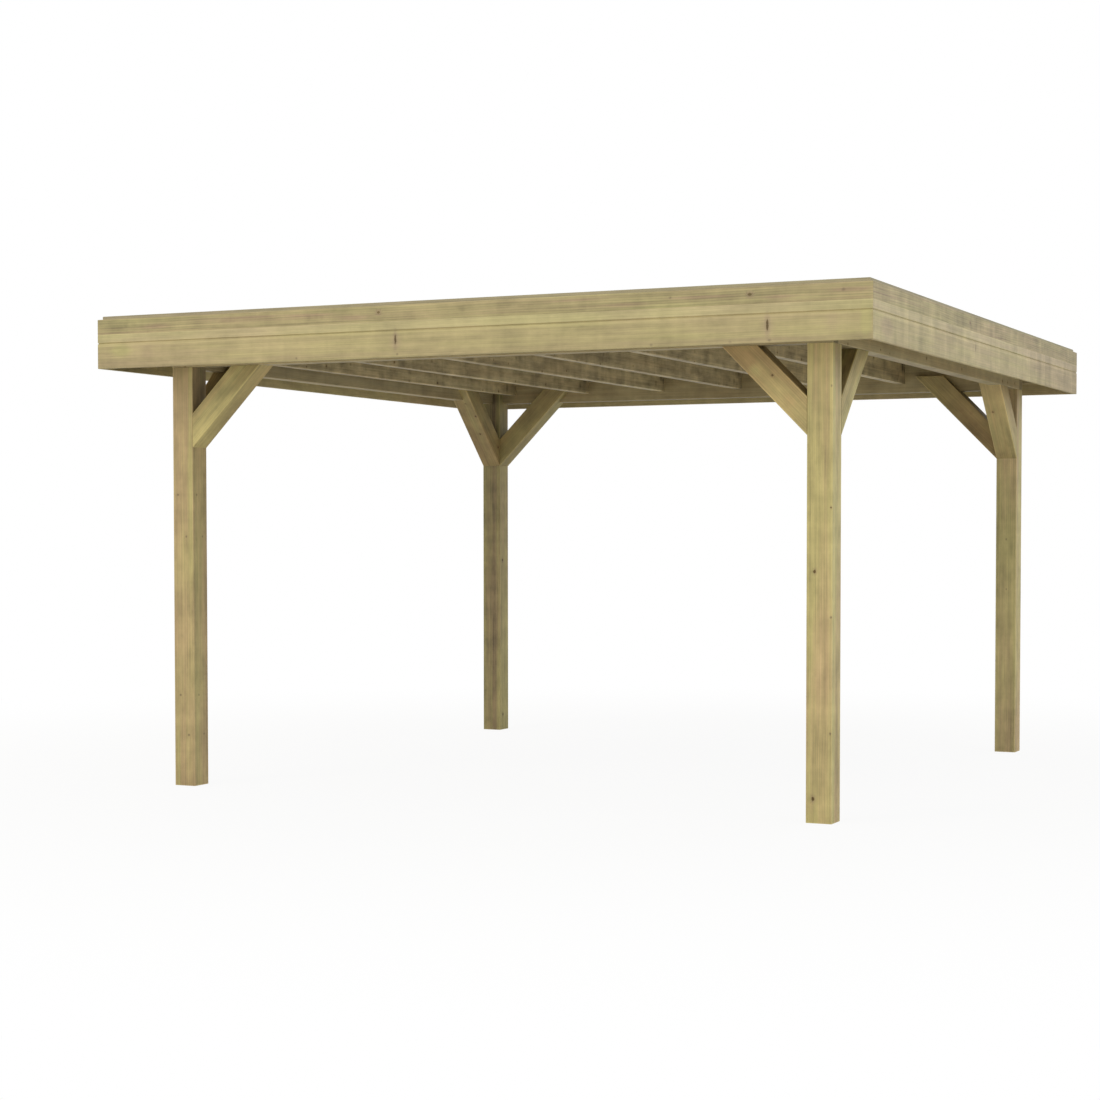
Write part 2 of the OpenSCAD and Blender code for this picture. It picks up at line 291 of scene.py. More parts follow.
# Every timber is planed softwood, yellow-olive from its pressure treatment. Rings are drawn 6 to 11 mm
# wide where real ones are 2 to 4 mm, so that they show. Each row gives the material's name, its values
# on top of TREATED, its chosen knots and its chosen stains, with their painted shade and light.
WOODS = {
    # Heavy planed pine: fine upright grain, small knots, and pale arrises, partly worn and partly a
    # painted highlight
    "posts": ("planed pine post", {
        **PINE, "Knot": "6B552A", "Sapwood": "BBAF76", "Heartwood": "B7A076", "Streak count": 26,
        "Heart spread": 2.2, "Patches": 2.0, "Bars": 0.35, "Mottle": 0.9, "Knot share": 0.3,
        "Arris wear and highlight": 0.16}, POST_KNOTS, POST_STAINS_AND_PAINTED_LIGHT),
    # The same timber in the knee braces: browner, with more knots, and pale arrises, partly worn and
    # partly a painted highlight
    "braces": ("planed pine brace", {
        **PINE, "Sapwood": "B7AA72", "Heartwood": "B09668", "Heart spread": 1.5, "Patches": 2.2,
        "Grain": 0.9, "Blotches": 0.7, "Mottle": 1.0, "Knot share": 0.35, "Arris wear and highlight": 0.3,
    }, BRACE_KNOTS, BRACE_STAINS_AND_PAINTED_LIGHT),
    # Spruce on edge, olive and a little mottled
    "beams": ("planed spruce beam", {
        **SPRUCE, "Sapwood": "AA9E78", "Heartwood": "9E8C66", "Grain": 0.8, "Bars": 0.5,
        "Tone spread": 0.06, "Knot share": 0.5, "Arris wear and highlight": 0.12, "Roughness": 0.55,
    }, {}, BEAM_PAINTED_LIGHT_AND_SHADE),
    # Rough-planed spruce joists: strongly mottled sides and pale lower edges, partly worn and partly a
    # painted highlight
    "joists": ("planed spruce joist", {
        **SPRUCE, "Sapwood": "B1A581", "Heartwood": "A3926F", "Grain": 1.2, "Bars": 1.1, "Blotches": 0.5,
        "Mottle": 1.9, "Tone spread": 0.08, "Knot share": 0.6, "Arris wear and highlight": 0.26, "Roughness": 0.5,
    }, {}, JOIST_STAINS),
    # Planed spruce roof boards, each with a tone of its own
    "boards": ("planed spruce roof board", {
        "Sapwood": "B5A980", "Heartwood": "AA976E", "Streak count": 26, "Grain": 0.6, "Rings": 0.15,
        "Bars": 0.2, "Blotches": 0.3, "Mottle": 0.4, "Tone spread": 0.22, "Knot share": 0.33,
        "Arris wear and highlight": -0.15, "Pith": (0.02, 0.09, 0), "Ring width": 7 * MM, "Roughness": 0.65}),
    # Clear planed pine: pale, with very fine straight grain, soft mottle and a few spike knots
    "lower": ("planed pine fascia board", {
        "Sapwood": "B4AB77", "Heartwood": "B2A07C", "Streak count": 26, "Heart spread": 1.3,
        "Patches": 1.6, "Grain": 0.7, "Rings": 0.06, "Blotches": 0.35, "Mottle": 0.65,
        "Tone spread": 0.02, "Arris wear and highlight": 0.05, "Band and lip highlight": 0.09, "Pith": (0.02, 0.3, 0),
        "Ring width": 9 * MM}, LOWER_KNOTS, LOWER_STAINS_AND_PAINTED_SHADE),
    # Striped larch: reddish-brown streaks and small round knots
    "upper": ("planed larch fascia board", {
        "Knot": "7C6B42", "Sapwood": "ABA472", "Heartwood": "A99574", "Streak count": 70, "Rings": 0.18,
        "Bars": 0.35, "Blotches": 0.45, "Tone spread": 0.02, "Knot share": 0.5, "Arris wear and highlight": 0.03,
        "Pith": (0.03, 0.2, 0), "Ring width": 11 * MM}, UPPER_KNOTS, UPPER_STAINS),
    # The kerb has begun to weather: grey, with darker arrises
    "kerb": ("weathered pine kerb", {
        "Sapwood": "ACA684", "Heartwood": "A89C84", "Streak count": 60, "Heart spread": 1.4,
        "Patches": 1.0, "Grain": 0.6, "Rings": 0.1, "Bars": 0.1, "Blotches": 0.2, "Mottle": 0.4,
        "Tone spread": 0.03, "Arris wear and highlight": -0.12, "Pith": (0.03, 0.2, 0), "Ring width": 9 * MM,
        "Roughness": 0.75}),
}


# ------------ helpers

def add(tree, kind, given=(), **settings):
    """Adds a node, with its settings, and fills its inputs, by name or in order, with values or with what
    other nodes give."""
    made = tree.nodes.new(kind)
    for name, value in settings.items():
        setattr(made, name, value)
    for socket, value in given.items() if isinstance(given, dict) else enumerate(given):
        if isinstance(value, bpy.types.Node):
            value = value.outputs[0]
        if isinstance(value, bpy.types.NodeSocket):
            tree.links.new(value, made.inputs[socket])
        else:
            made.inputs[socket].default_value = value
    return made


def hex_colour(code):
    """Linear colour with alpha of an sRGB code such as "B9AA7F"."""
    shares = [int(code[i:i + 2], 16) / 255 for i in (0, 2, 4)]
    return [s / 12.92 if s <= 0.04045 else ((s + 0.055) / 1.055) ** 2.4 for s in shares] + [1.0]


def new_group(name, kind, inputs, outputs):
    """Empty node group with named inputs and outputs, and its two end nodes."""
    tree = bpy.data.node_groups.new(name, kind)
    for label, socket in inputs.items():
        tree.interface.new_socket(label, in_out="INPUT", socket_type=socket)
    for label, socket in outputs.items():
        tree.interface.new_socket(label, in_out="OUTPUT", socket_type=socket)
    return tree, add(tree, "NodeGroupInput").outputs, add(tree, "NodeGroupOutput").inputs


def realized(tree, instances, material, result):
    """Ends a geometry tree: its instances become real mesh in this material."""
    real = add(tree, "GeometryNodeRealizeInstances", [instances])
    done = add(tree, "GeometryNodeSetMaterial", {"Geometry": real, "Material": material})
    tree.links.new(done.outputs[0], result["Geometry"])
    return tree


def emptied(owner):
    """The node tree of a new material or world, with nothing in it yet."""
    owner.use_nodes = True
    owner.node_tree.nodes.clear()
    return owner.node_tree


def placed(name, data):
    """A new object in the scene."""
    made = bpy.data.objects.new(name, data)
    bpy.context.scene.collection.objects.link(made)
    return made


def piece(name, mesh, material, nodes):
    """The finished mesh as a piece that stands for these CAD nodes."""
    made = placed(name, mesh)
    mesh.materials.clear()
    mesh.materials.append(material)
    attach(made, "root")
    if nodes:
        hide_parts(*nodes)


def as_mesh(shape, name):
    """What was shaped with bmesh, as a mesh."""
    mesh = bpy.data.meshes.new(name)
    shape.to_mesh(mesh)
    shape.free()
    return mesh


def evaluated(made):
    """Plain mesh that an object's modifiers give."""
    return bpy.data.meshes.new_from_object(made.evaluated_get(bpy.context.evaluated_depsgraph_get()))


def read(data, field, width=1, kind=np.float32):
    """One field of a mesh's points, corners or faces, with a row for each if it has parts."""
    found = np.zeros(len(data) * width, kind)
    data.foreach_get(field, found)
    return found.reshape(-1, width) if width > 1 else found


def write(mesh, name, kind, domain, values):
    """An attribute of a mesh, in place of an old one."""
    if name in mesh.attributes:
        mesh.attributes.remove(mesh.attributes[name])
    field = "vector" if kind == "FLOAT_VECTOR" else "value"
    made = mesh.attributes.new(name, kind, domain)
    made.data.foreach_set(field, np.asarray(values, np.float32).ravel())


# ------------ camera, light and floor

def make_camera():
    data = bpy.data.cameras.new("camera")
    data.sensor_width = SENSOR
    data.lens = LENS
    data.shift_x, data.shift_y = SHIFT
    camera = placed("camera", data)
    camera.location = CAMERA_PLACE
    camera.rotation_euler = (math.radians(90 - DIP), 0, math.radians(TURN))
    bpy.context.scene.camera = camera


def make_world():
    """Even pale light from all round. What the camera, mirrors and glass see is plain white."""
    world = bpy.data.worlds.new("studio")
    bpy.context.scene.world = world
    tree = emptied(world)
    ray = add(tree, "ShaderNodeLightPath").outputs
    seen = ray["Is Camera Ray"]
    for other in ("Is Glossy Ray", "Is Transmission Ray"):
        seen = add(tree, MATH, [seen, ray[other]], operation="MAXIMUM")
    light = add(tree, "ShaderNodeBackground", {"Color": hex_colour("FFFDF6"), "Strength": WORLD_STRENGTH})
    white = add(tree, "ShaderNodeBackground", {"Color": WHITE})
    both = add(tree, "ShaderNodeMixShader", [seen, light, white])
    add(tree, "ShaderNodeOutputWorld", [both])


def make_lamps():
    for name, place, power, colour in LAMPS:
        data = bpy.data.lights.new(name, "AREA")
        data.shape = "DISK"
        data.size = LAMP_WIDTH
        data.energy = power
        data.color = hex_colour(colour)[:3]
        lamp = placed(name, data)
        lamp.location = place
        lamp.rotation_euler = (LAMP_TARGET - Vector(place)).to_track_quat("-Z", "Y").to_euler()


def make_floor():
    """Pale matt floor that is nearly white to the camera. It keeps the object's shadow, faintly, and runs
    into the white background further out. It is clear from below, and to what stands on it, so that
    the feet get light there."""
    material = bpy.data.materials.new("matt white studio floor")
    tree = emptied(material)
    matt = add(tree, "ShaderNodeBsdfDiffuse", {"Color": hex_colour("D6D6D4")})
    white = add(tree, "ShaderNodeEmission", {"Color": WHITE})
    geometry = add(tree, "ShaderNodeNewGeometry").outputs
    out = add(tree, VECTOR_MATH, [geometry["Position"]], operation="LENGTH").outputs["Value"]
    whiter = add(tree, MAP_RANGE, {
        "Value": out, "From Min": FLOOR_NEAR, "From Max": FLOOR_FAR, "To Min": NEAR_WHITE,
    }, interpolation_type="SMOOTHSTEP")
    ray = add(tree, "ShaderNodeLightPath").outputs
    share = add(tree, MATH, [ray["Is Camera Ray"], whiter], operation="MULTIPLY")
    pale = add(tree, "ShaderNodeMixShader", [share, matt, white])
    clear = add(tree, "ShaderNodeBsdfTransparent")
    under = add(tree, MATH, [ray["Ray Length"], FEET_REACH], operation="LESS_THAN")
    through = add(tree, MATH, [geometry["Backfacing"], under], operation="MAXIMUM")
    both = add(tree, "ShaderNodeMixShader", [through, pale, clear])
    add(tree, "ShaderNodeOutputMaterial", [both])
    bpy.ops.mesh.primitive_plane_add(size=FLOOR_SIZE, location=(0, 0, -FLOOR_DEPTH))
    floor = bpy.context.object
    floor.name = "floor"
    floor.data.materials.append(material)


# ------------ timber meshes

@cache
def timber_row_tree():
    """Squared timbers with round arrises that lie along Z, side by side along X, round the origin.
    "local" keeps each timber's own coordinates, and "tone" a random number of its own."""
    number, whole = "NodeSocketFloat", "NodeSocketInt"
    tree, given, result = new_group(
        "timber row", "GeometryNodeTree",
        {"Width": number, "Height": number, "Length": number, "Arris": number, "Pitch": number,
         "Count": whole, "Seed": whole, "Timber": "NodeSocketMaterial"},
        {"Geometry": "NodeSocketGeometry"})
    outline = add(tree, "GeometryNodeCurvePrimitiveQuadrilateral",
                  {"Width": given["Width"], "Height": given["Height"]})
    eased = add(tree, "GeometryNodeFilletCurve",
                {"Curve": outline, "Radius": given["Arris"], "Count": 5}, mode="POLY")
    face = add(tree, "GeometryNodeFillCurve", [eased], mode="NGONS")
    foot = add(tree, "GeometryNodeFlipFaces", [face])
    shaft = add(tree, "GeometryNodeExtrudeMesh",
                {"Mesh": face, "Offset Scale": given["Length"], "Individual": False})
    both = add(tree, "GeometryNodeJoinGeometry", [foot])
    tree.links.new(shaft.outputs["Mesh"], both.inputs["Geometry"])
    closed = add(tree, "GeometryNodeMergeByDistance", {"Geometry": both, "Distance": WELD})
    middle = add(tree, MATH, [given["Length"], -0.5], operation="MULTIPLY")
    centred = add(tree, "GeometryNodeSetPosition",
                  {"Geometry": closed, "Offset": add(tree, COMBINE, {"Z": middle})})
    timber = add(tree, "GeometryNodeStoreNamedAttribute",
                 {"Geometry": centred, "Name": "local", "Value": add(tree, "GeometryNodeInputPosition")},
                 data_type="FLOAT_VECTOR")
    gaps = add(tree, MATH, [given["Count"], -1.0], operation="ADD")
    run = add(tree, MATH, [gaps, given["Pitch"]], operation="MULTIPLY")
    first = add(tree, MATH, [run, -0.5], operation="MULTIPLY")
    spots = add(tree, "GeometryNodeMeshLine", {
        "Count": given["Count"], "Start Location": add(tree, COMBINE, {"X": first}),
        "Offset": add(tree, COMBINE, {"X": given["Pitch"]})})
    row = add(tree, "GeometryNodeInstanceOnPoints", {"Points": spots, "Instance": timber})
    chance = add(tree, "FunctionNodeRandomValue", {"Seed": given["Seed"]}).outputs[1]
    toned = add(tree, "GeometryNodeStoreNamedAttribute",
                {"Geometry": row, "Name": "tone", "Value": chance}, domain="INSTANCE")
    return realized(tree, toned, given["Timber"], result)


def grown(tree, mesh=None, **values):
    """Plain mesh that a geometry tree gives for this mesh, if it takes one, and for these inputs."""
    holder = placed("holder", mesh or bpy.data.meshes.new("holder"))
    modifier = holder.modifiers.new("shape", "NODES")
    modifier.node_group = tree
    for item in tree.interface.items_tree:
        if item.in_out == "INPUT" and item.name in values:
            modifier[item.identifier] = values[item.name]
    mesh = evaluated(holder)
    bpy.data.objects.remove(holder)
    return mesh


def lay(mesh, place, width, height, looks=PLAIN):
    """Moves a timber that was made along Z to its place, and writes what its wood pattern reads:
    "face" holds the way across the face, the way along it and the face's number,
    "board" holds the timber's tone, half the face's width and whether it is end grain, and
    "looks" holds the timber's shade, its warmth and how much its sawn bars add."""
    *shown, page = looks
    point = read(mesh.loops, "vertex_index", kind=np.int32)
    u, v, w = read(mesh.attributes["local"].data, "vector", 3)[point].T
    tone = read(mesh.attributes["tone"].data, "value")[point]
    corners = read(mesh.polygons, "loop_total", kind=np.int32)
    nu, nv, nw = np.repeat(read(mesh.polygons, "normal", 3), corners, axis=0).T
    end = np.abs(nw) > 0.5
    broad = np.abs(nv) >= np.abs(nu)  # the face looks up or down, so its width runs along u
    number = np.where(broad, np.where(nv > 0, FACE_ABOVE, FACE_BELOW),
                      np.where(nu > 0, FACE_FAR, FACE_NEAR)) + END_NUMBERS * end + FACES_A_PAGE * page
    across, along = np.where(broad | end, u, v), np.where(end, v, w)
    half = np.where(broad, width, height) / 2
    shown = [np.full(len(point), value) for value in shown]
    for name, parts in (("face", (across, along, number)), ("board", (tone, half, end)), ("looks", shown)):
        write(mesh, name, "FLOAT_VECTOR", "CORNER", np.stack(parts, 1))
    mesh.transform(place)
    mesh.update()


def laid(centre, along, up):
    """Matrix that carries a timber made along Z to its place, with its height along up."""
    return Matrix.Translation(centre) @ Matrix((up.cross(along), up, along)).transposed().to_4x4()


def cut(mesh, planes):
    """Cuts what lies beyond each plane off a closed mesh and closes it again."""
    shape = bmesh.new()
    shape.from_mesh(mesh)
    for point, normal in planes:
        everything = shape.verts[:] + shape.edges[:] + shape.faces[:]
        made = bmesh.ops.bisect_plane(shape, geom=everything, plane_co=point, plane_no=normal,
                                      clear_outer=True)
        edges = [e for e in made["geom_cut"] if isinstance(e, bmesh.types.BMEdge)]
        bmesh.ops.contextual_create(shape, geom=edges)
    bmesh.ops.recalc_face_normals(shape, faces=shape.faces[:])
    shape.to_mesh(mesh)
    shape.free()


def rebate(mesh, place, boxes):
    """Cuts upright boxes, given by their corners in the frame, out of a timber that isn't laid yet."""
    timber = placed("timber", mesh)
    cutters = []
    for low, high in boxes:
        shape = bmesh.new()
        bmesh.ops.create_cube(shape, size=1.0)
        scale = Matrix.Diagonal((*(high - low), 1))
        shape.transform(place.inverted() @ Matrix.Translation((low + high) / 2) @ scale)
        cutters.append(placed("cutter", as_mesh(shape, "cutter")))
        modifier = timber.modifiers.new("rebate", "BOOLEAN")
        modifier.object = cutters[-1]
        modifier.solver = "EXACT"
    result = evaluated(timber)
    for made in (timber, *cutters):
        bpy.data.objects.remove(made)
    return result


def finished(node, mesh, place, width, height, wood, seed, looks, rebates=(), kind="timber"):
    """Rebates and lays a single timber that is still at the origin, and makes it a piece. The seed gives
    its tone."""
    if rebates:
        mesh = rebate(mesh, place, rebates)
    write(mesh, "local", "FLOAT_VECTOR", "POINT", read(mesh.vertices, "co", 3))
    write(mesh, "tone", "FLOAT", "POINT", np.full(len(mesh.vertices), seed * GOLDEN % 1))
    lay(mesh, place, width, height, looks)
    piece(f"{node}_{kind}", mesh, wood, [node])


def squared(node, wood, arris, seed, along, up=UP, looks=PLAIN, rebates=()):
    """One squared timber that fills a CAD node's box, less its rebates."""
    low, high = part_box(node)
    width, height, length = (abs((high - low).dot(way)) for way in (up.cross(along), up, along))
    mesh = grown(timber_row_tree(), Width=width, Height=height, Length=length, Arris=arris, Count=1,
                 Timber=wood)
    place = laid((low + high) / 2, along, up)
    finished(node, mesh, place, width, height, wood, seed, looks, rebates)


def beam_room(side):
    """Corners of a box round a ring beam, with room past its ends and on its outer side, for rebates."""
    low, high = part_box(f"beam_{side}")
    for i in range(2):
        low[i] -= POST_WIDTH * (INWARD[side][i] > -0.5)
        high[i] += POST_WIDTH * (INWARD[side][i] < 0.5)
    return low, high


def make_posts(wood):
    """The heads are rebated for the beams, which leaves a tongue at each post's inner corner."""
    for seed, ((depth, side), looks) in enumerate(POST_LOOKS.items(), 3):
        squared(f"post_{depth}_{side}", wood, POST_ARRIS, seed, UP, -INWARD["front"], looks,
                [beam_room(depth), beam_room(side)])


def make_brace(node, side, inward, wood, seed, looks):
    """Knee brace of post timber, from its post to the beam of this side. inward is the way from its
    post along the beam. Its foot is cut upright, and its head is level and rebated for the beam."""
    low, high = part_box(node)
    rise = high.z - low.z
    centre = (low + high) / 2
    over = (UP - inward).normalized()
    place = laid(centre + over * POST_WIDTH / 2, (inward + UP).normalized(), over)
    mesh = grown(timber_row_tree(), Width=POST_WIDTH, Height=POST_WIDTH, Length=3 * rise,
                 Arris=POST_ARRIS, Count=1, Timber=wood)
    back = place.inverted()
    turn = back.to_3x3()
    cut(mesh, [(back @ (centre + way * rise / 2), turn @ way) for way in (UP, -inward)])
    finished(node, mesh, place, POST_WIDTH, POST_WIDTH, wood, seed, looks, [beam_room(side)])


def make_braces(wood):
    seed = 20
    for (depth, side), looks in BRACE_LOOKS.items():
        ways = ((depth, depth, INWARD[side]), ("side", side, INWARD[depth]))
        for (way, beam_side, inward), look in zip(ways, looks):
            make_brace(f"brace_{depth}_{side}_{way}", beam_side, inward, wood, seed, look)
            seed += 1


def make_beams(wood):
    for seed, (side, along) in enumerate(ALONG.items(), 40):
        squared(f"beam_{side}", wood, BEAM_ARRIS, seed, along, looks=BEAM_LOOKS[side])


def make_joists(wood):
    for seed, node in enumerate(JOISTS, 51):
        squared(node, wood, JOIST_ARRIS, seed, INWARD["front"])


def make_rims(wood):
    for seed, (side, along) in enumerate(ALONG.items(), 60):
        squared(f"rim_{side}", wood, RIM_ARRIS, seed, along)


def make_row(name, node, wood, slot, arris, seed, along, count, width):
    """A row of equal timbers that reaches from end to end of a CAD node's box."""
    low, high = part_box(node)
    size = high - low
    reach = abs(size.dot(UP.cross(along))) - width
    mesh = grown(timber_row_tree(), Width=width, Height=size.z, Length=abs(size.dot(along)), Arris=arris,
                 Count=count, Pitch=reach / (count - 1), Seed=seed, Timber=wood)
    lay(mesh, laid((low + high) / 2, along, UP), width, size.z)
    piece(name, mesh, wood, [node])


def make_outriggers(wood):
    """Nine short timbers a side, from the beam out to the rim."""
    for seed, side in enumerate(ALONG, 70):
        make_row(f"outriggers_{side}_timbers", f"outriggers_{side}", wood, "roof_edge_timbers",
                 OUTRIGGER_ARRIS, seed, -INWARD[side], OUTRIGGERS, OUTRIGGER_WIDTH)


def roof_board_rows():
    """How many boards the roof has, and their width."""
    low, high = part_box("roof_deck")
    count = round((high.y - low.y) / ROOF_BOARD_WIDTH)
    return count, (high.y - low.y) / count


def make_roof_boards(wood):
    """Tongue and groove boards that run from left to right, with a V joint between them."""
    make_row("roof_boards", "roof_deck", wood, "roof_boards", ROOF_BOARD_ARRIS, 80, ALONG["front"],
             *roof_board_rows())


# ------------ mitred boards

def rounded(corners, steps=4):
    """Outline with each corner, given as x, y and radius, rounded by an arc."""
    points = []
    for i, (x, y, radius) in enumerate(corners):
        here = Vector((x, y))
        before = (Vector(corners[i - 1][:2]) - here).normalized()
        after = (Vector(corners[(i + 1) % len(corners)][:2]) - here).normalized()
        half = before.angle(after) / 2
        middle = here + (before + after).normalized() * radius / math.sin(half)
        start = here + before * radius / math.tan(half) - middle
        stop = here + after * radius / math.tan(half) - middle
        turn = start.angle_signed(stop)
        for step in range(steps + 1):
            points.append(middle + Matrix.Rotation(-turn * step / steps, 2) @ start)
    return points


def make_mitred(node, kind, side, wood, seed, arrises, groove=(), looks=PLAIN):
    """Board along one side of the roof, mitred at both ends, with these radii at its arrises. Its outline
    is drawn with x inward from its outer face and y up from its lower edge."""
    low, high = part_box(node)
    size = high - low
    thick, height, length = abs(size.dot(INWARD[side])), size.z, abs(size.dot(ALONG[side]))
    corners = ((0, 0), (thick, 0), (thick, height), (0, height))
    outline = rounded([(*corner, radius) for corner, radius in zip(corners, arrises)] + list(groove))
    shape = bmesh.new()
    rings = [[shape.verts.new((p.x - thick / 2, p.y - height / 2, w)) for p in outline]
             for w in (-length / 2, length / 2)]
    shape.faces.new(rings[0])
    shape.faces.new(rings[1])
    for i in range(len(outline)):
        shape.faces.new((rings[0][i - 1], rings[0][i], rings[1][i], rings[1][i - 1]))
    bmesh.ops.recalc_face_normals(shape, faces=shape.faces[:])
    mesh = as_mesh(shape, f"{node}_{kind}")
    tip = length / 2 - MITRE_GAP
    cut(mesh, [(Vector((-thick / 2, 0, way * tip)), Vector((1, 0, way))) for way in (1, -1)])
    place = laid((low + high) / 2, ALONG[side], UP)
    finished(node, mesh, place, thick, height, wood, seed, looks, kind=kind)


def make_fascia(lower_wood, upper_wood):
    rows = (("fascia_lower", lower_wood, 11, LOWER_ARRISES, GROOVE),
            ("fascia_upper", upper_wood, 31, UPPER_ARRISES, ()))
    for i, side in enumerate(ALONG):
        for slot, wood, seed, arrises, groove in rows:
            make_mitred(f"{slot}_{side}", "board", side, wood, seed + i, arrises, groove,
                        FASCIA_LOOKS[side])


def make_kerbs(wood):
    for seed, side in enumerate(ALONG, 51):
        make_mitred(f"kerb_{side}", "timber", side, wood, seed, KERB_ARRISES)


# ------------ screws

def screw_head():
    """Mesh of a countersunk head with a six-lobed socket, its top at the origin and facing up."""
    shape = bmesh.new()
    rings = []
    for *radii, height in HEAD_RINGS:
        points = []
        for i in range(HEAD_CORNERS if radii[0] else 1):
            turn = 2 * math.pi * i / HEAD_CORNERS
            reach = radii[i % 2] * SCREW_HEAD / 2
            points.append(shape.verts.new((reach * math.cos(turn), reach * math.sin(turn), height * MM)))
        rings.append(points)
    for inner, outer in zip(rings, rings[1:]):
        for i in range(HEAD_CORNERS):
            around = (inner[i % len(inner)], outer[i % len(outer)], outer[(i + 1) % len(outer)],
                      inner[(i + 1) % len(inner)])
            shape.faces.new(list(dict.fromkeys(around)))
    shape.normal_update()
    if shape.calc_volume(signed=True) < 0:
        bmesh.ops.reverse_faces(shape, faces=shape.faces[:])
    return as_mesh(shape, "screw head")


def screw_tree():
    """A screw head on every point, turned by chance and facing the way that the point's "out" gives."""
    tree, given, result = new_group(
        "screws", "GeometryNodeTree",
        {"Places": "NodeSocketGeometry", "Head": "NodeSocketObject", "Seed": "NodeSocketInt",
         "Metal": "NodeSocketMaterial"},
        {"Geometry": "NodeSocketGeometry"})
    head = add(tree, "GeometryNodeObjectInfo", [given["Head"]]).outputs["Geometry"]
    points = add(tree, "GeometryNodeMeshToPoints", [given["Places"]])
    out = add(tree, "GeometryNodeInputNamedAttribute", {"Name": "out"}, data_type="FLOAT_VECTOR")
    facing = add(tree, "FunctionNodeAlignRotationToVector", {"Vector": out.outputs["Attribute"]}, axis="Z")
    turn = add(tree, "FunctionNodeRandomValue", {"Max": 2 * math.pi, "Seed": given["Seed"]})
    spin = add(tree, "FunctionNodeAxisAngleToRotation", {"Axis": (0, 0, 1), "Angle": turn.outputs[1]})
    both = add(tree, "FunctionNodeRotateRotation", {"Rotation": facing, "Rotate By": spin},
               rotation_space="LOCAL")
    heads = add(tree, "GeometryNodeInstanceOnPoints",
                {"Points": points, "Instance": head, "Rotation": both})
    return realized(tree, heads, given["Metal"], result)


def roof_screws():
    """Two screws through each roof board into every joist, side beam and side rim."""
    deck_low, deck_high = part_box("roof_deck")
    count, width = roof_board_rows()
    for node in JOISTS + ["beam_left", "beam_right", "rim_left", "rim_right"]:
        low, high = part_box(node)
        for i in range(count):
            for share in SCREW_SHARES:
                yield Vector(((low.x + high.x) / 2, deck_low.y + (i + share) * width, deck_high.z)), UP


def joist_screws():
    """Two screws through the front and back beams into each joist's end, low enough to miss the
    outriggers."""
    for node in JOISTS:
        low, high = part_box(node)
        for side in ("front", "back"):
            out = -INWARD[side]
            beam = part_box(f"beam_{side}")[out.y > 0]
            for share in SCREW_SHARES:
                yield Vector((low.x + share * (high.x - low.x), beam.y, low.z + SCREW_LIFT)), out


def make_screws(name, places, metal, seed):
    """The screws' heads stand a hair proud of the timber."""
    spots, ways = zip(*places)
    mesh = bpy.data.meshes.new("places")
    mesh.from_pydata([spot + way * SCREW_PROUD for spot, way in zip(spots, ways)], [], [])
    write(mesh, "out", "FLOAT_VECTOR", "POINT", ways)
    head = bpy.data.objects.new("screw head", screw_head())
    made = grown(screw_tree(), mesh, Head=head, Seed=seed, Metal=metal)
    bpy.data.objects.remove(head)
    piece(name, made, metal, [])


def zinc_material():
    """Zinc-plated steel screws: pale bluish-grey metal with a soft gloss, a little uneven from the
    plating, in blooms of 2.5 mm."""
    material = bpy.data.materials.new("zinc-plated steel")
    tree = emptied(material)
    here = add(tree, "ShaderNodeTexCoord").outputs["Object"]
    bloom = add(tree, NOISE, {"Vector": here, "Scale": 1 / ZINC_BLOOM, "Detail": 3.0})
    colour = add(tree, "ShaderNodeMix", {0: bloom, 6: hex_colour("A9ABAA"), 7: hex_colour("D2D3CF")},
                 data_type="RGBA")
    rough = add(tree, MAP_RANGE, {"Value": bloom, "To Min": 0.28, "To Max": 0.5})
    surface = add(tree, "ShaderNodeBsdfPrincipled", {
        "Base Color": colour.outputs[2], "Roughness": rough, "Metallic": 1.0,
    })
    add(tree, "ShaderNodeOutputMaterial", [surface])
    return material


# ------------ wood

def off_mark(tree, spot, number, across, along, half_width, half_length):
    """How far each spot is from a chosen mark, as a share of the mark's size. spot is the place across
    the face, the place along it and the face's number."""
    shares = Vector((1 / (half_width * MM), 1 / (half_length * MM), OTHER_FACE))
    centre = Vector((across * MM, along, number))
    off = add(tree, VECTOR_MATH, [spot, shares, -centre * shares], operation="MULTIPLY_ADD")
    return add(tree, VECTOR_MATH, [off], operation="LENGTH").outputs["Value"]


def numbered(marks):
    """Each chosen mark with the number of its face."""
    for (page, face), group in marks.items():
        for mark in group:
            yield face + FACES_A_PAGE * page, *mark


def chosen_knots(tree, spot, knots):
    """Distance from the nearest chosen knot, as a share of its size."""
    nearest = NO_KNOT
    for knot in numbered(knots):
        nearest = add(tree, MATH, [off_mark(tree, spot, *knot), nearest], operation="MINIMUM")
    return nearest


def chosen_stains(tree, spot, stains):
    """Darkness and warmth of the chosen stains and of the painted shade and light among them, as the first
    two parts of a vector.
    """
    total = (0, 0, 0)
    for *place, dark, warm in numbered(stains):
        soft = add(tree, MAP_RANGE, {
            "Value": off_mark(tree, spot, *place), "From Min": 0.1, "From Max": 1.2, **FALLING,
        }, interpolation_type="SMOOTHSTEP")
        total = add(tree, VECTOR_MATH, [soft, (dark, warm, 0), total], operation="MULTIPLY_ADD")
    return total


def weighed(tree, total, parts):
    """The total with more parts added, each times its weight."""
    for part, weight in parts:
        total = add(tree, MATH, [part, weight, total], operation="MULTIPLY_ADD")
    return total


